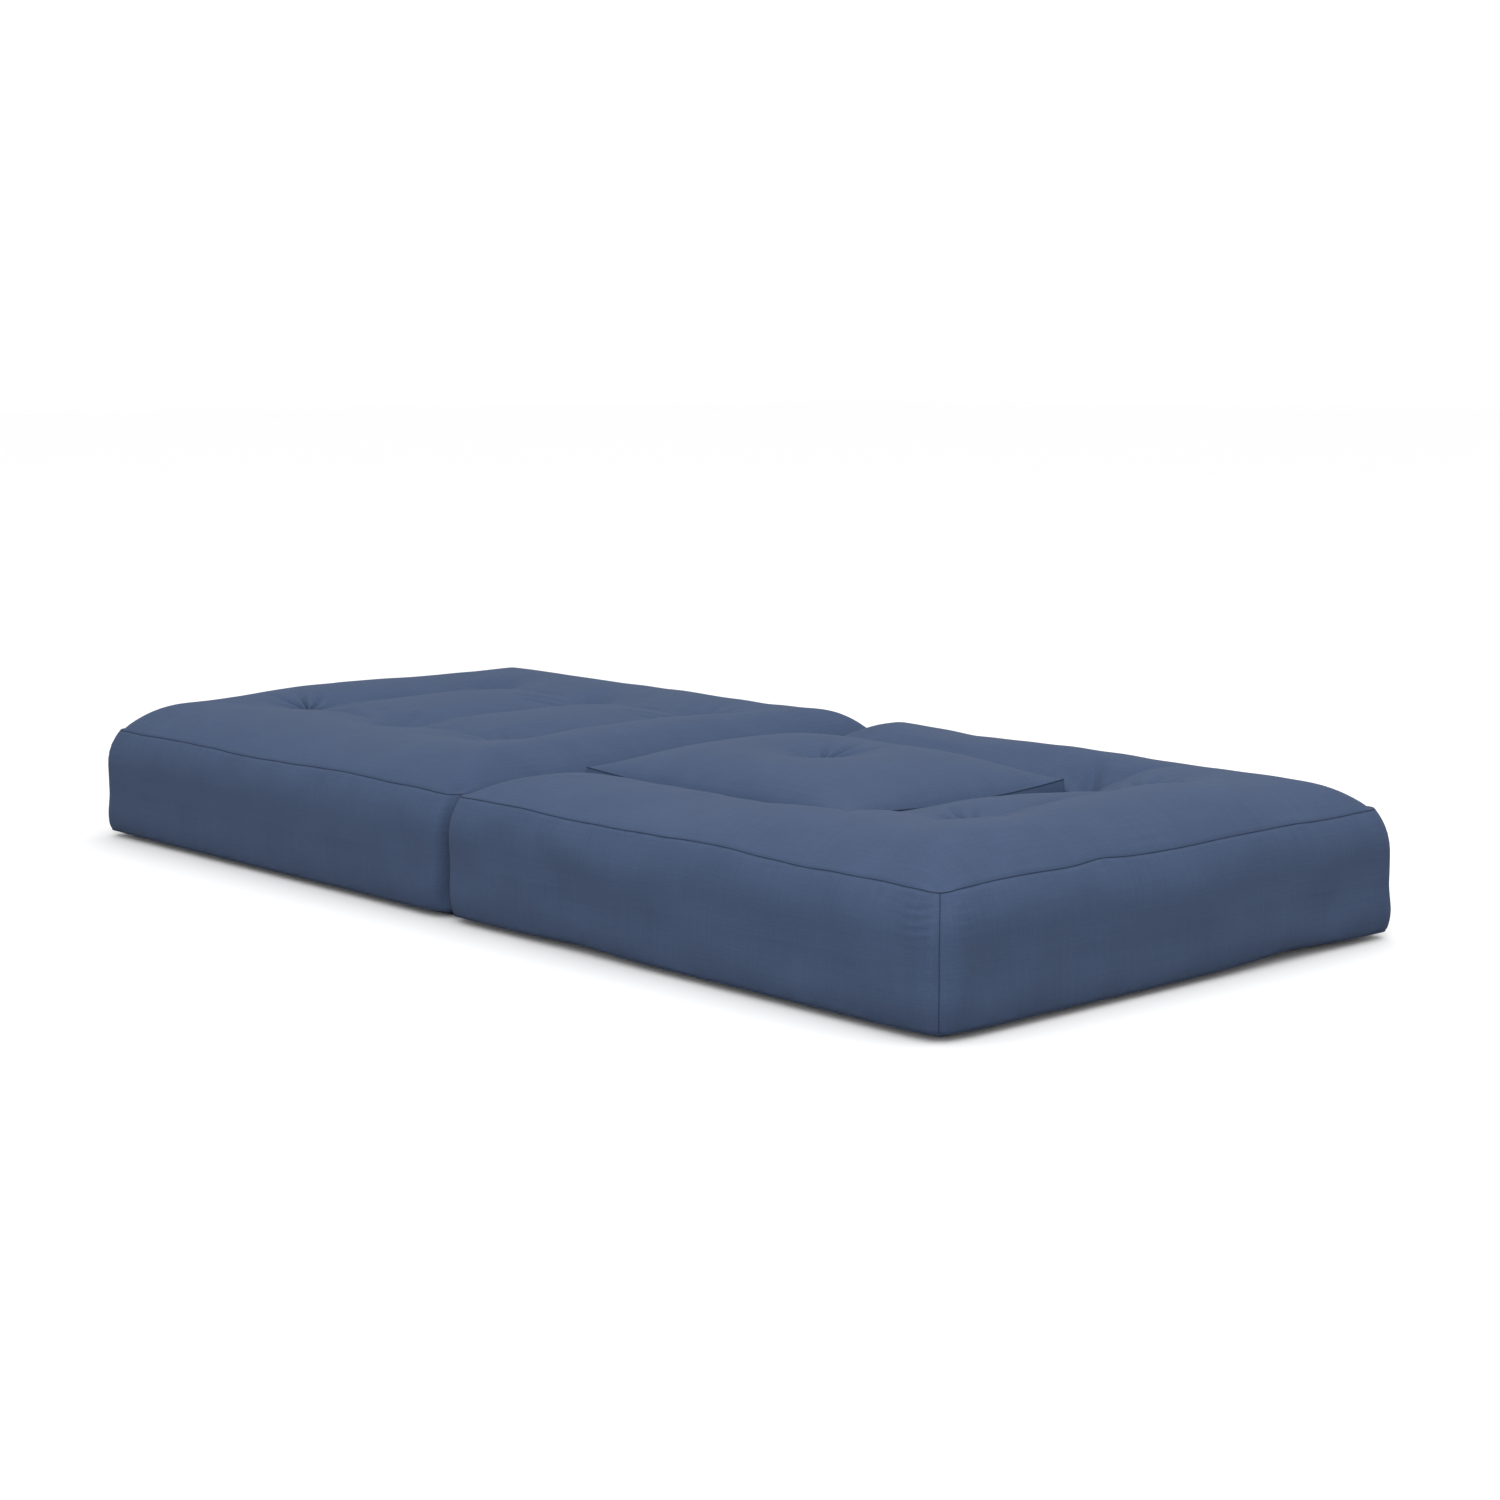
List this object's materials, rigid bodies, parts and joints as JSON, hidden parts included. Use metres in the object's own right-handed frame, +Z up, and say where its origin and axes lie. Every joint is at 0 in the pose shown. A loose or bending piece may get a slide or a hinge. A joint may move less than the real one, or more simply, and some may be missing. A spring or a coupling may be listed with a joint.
{
  "type": "futon mattress",
  "caption": "Folding futon mattress: two tufted navy cotton blocks sewn together along one top edge, with a small tufted backrest cushion lying in the middle of one block.",
  "frame": {"origin": "on the floor, at the middle of the joint between the two blocks", "axes": "+X along the length towards the block with the backrest cushion, +Y across the width, +Z up"},
  "size_m": [2, 0.944, 0.25],
  "materials": {
    "navy_cotton": "matt woven cotton",
    "cotton_felt": "loose cotton batting",
    "foam": "open-cell foam",
    "tuft_twine": "waxed twine"
  },
  "bodies": {
    "fold_block": {"fold_top_panel": "navy_cotton", "fold_bottom_panel": "navy_cotton", "fold_front_panel": "navy_cotton", "fold_back_panel": "navy_cotton", "fold_end_panel": "navy_cotton", "fold_joint_panel": "navy_cotton", "fold_top_felt": "cotton_felt", "fold_bottom_felt": "cotton_felt", "fold_foam_core": "foam", "fold_tuft_ties": "tuft_twine", "fold_hinge_strip": "navy_cotton"},
    "seat_block": {"seat_top_panel": "navy_cotton", "seat_bottom_panel": "navy_cotton", "seat_front_panel": "navy_cotton", "seat_back_panel": "navy_cotton", "seat_end_panel": "navy_cotton", "seat_joint_panel": "navy_cotton", "seat_top_felt": "cotton_felt", "seat_bottom_felt": "cotton_felt", "seat_foam_core": "foam", "seat_tuft_ties": "tuft_twine", "backrest_hinge_tape": "navy_cotton"},
    "backrest": {"backrest_top_panel": "navy_cotton", "backrest_side_band": "navy_cotton", "backrest_bottom_panel": "navy_cotton", "backrest_felt": "cotton_felt", "backrest_foam_core": "foam", "backrest_tuft_tie": "tuft_twine"}
  },
  "joints": [
    {"name": "fold", "type": "hinge", "parent": "fold_block", "child": "seat_block", "pos_m": [0, 0, 0.2], "axis": [0, -1, 0], "range_deg": [0, 180], "deforming": ["fold_top_panel", "fold_top_felt", "fold_tuft_ties", "seat_top_panel", "seat_top_felt", "seat_tuft_ties", "backrest_top_panel", "backrest_felt", "backrest_side_band", "backrest_foam_core", "backrest_bottom_panel", "backrest_tuft_tie", "fold_hinge_strip", "backrest_hinge_tape"]},
    {"name": "backrest_tilt", "type": "hinge", "parent": "seat_block", "child": "backrest", "pos_m": [0.012, 0, 0.208], "axis": [0, 1, 0], "range_deg": [-115, 0], "deforming": ["backrest_hinge_tape"]}
  ]
}
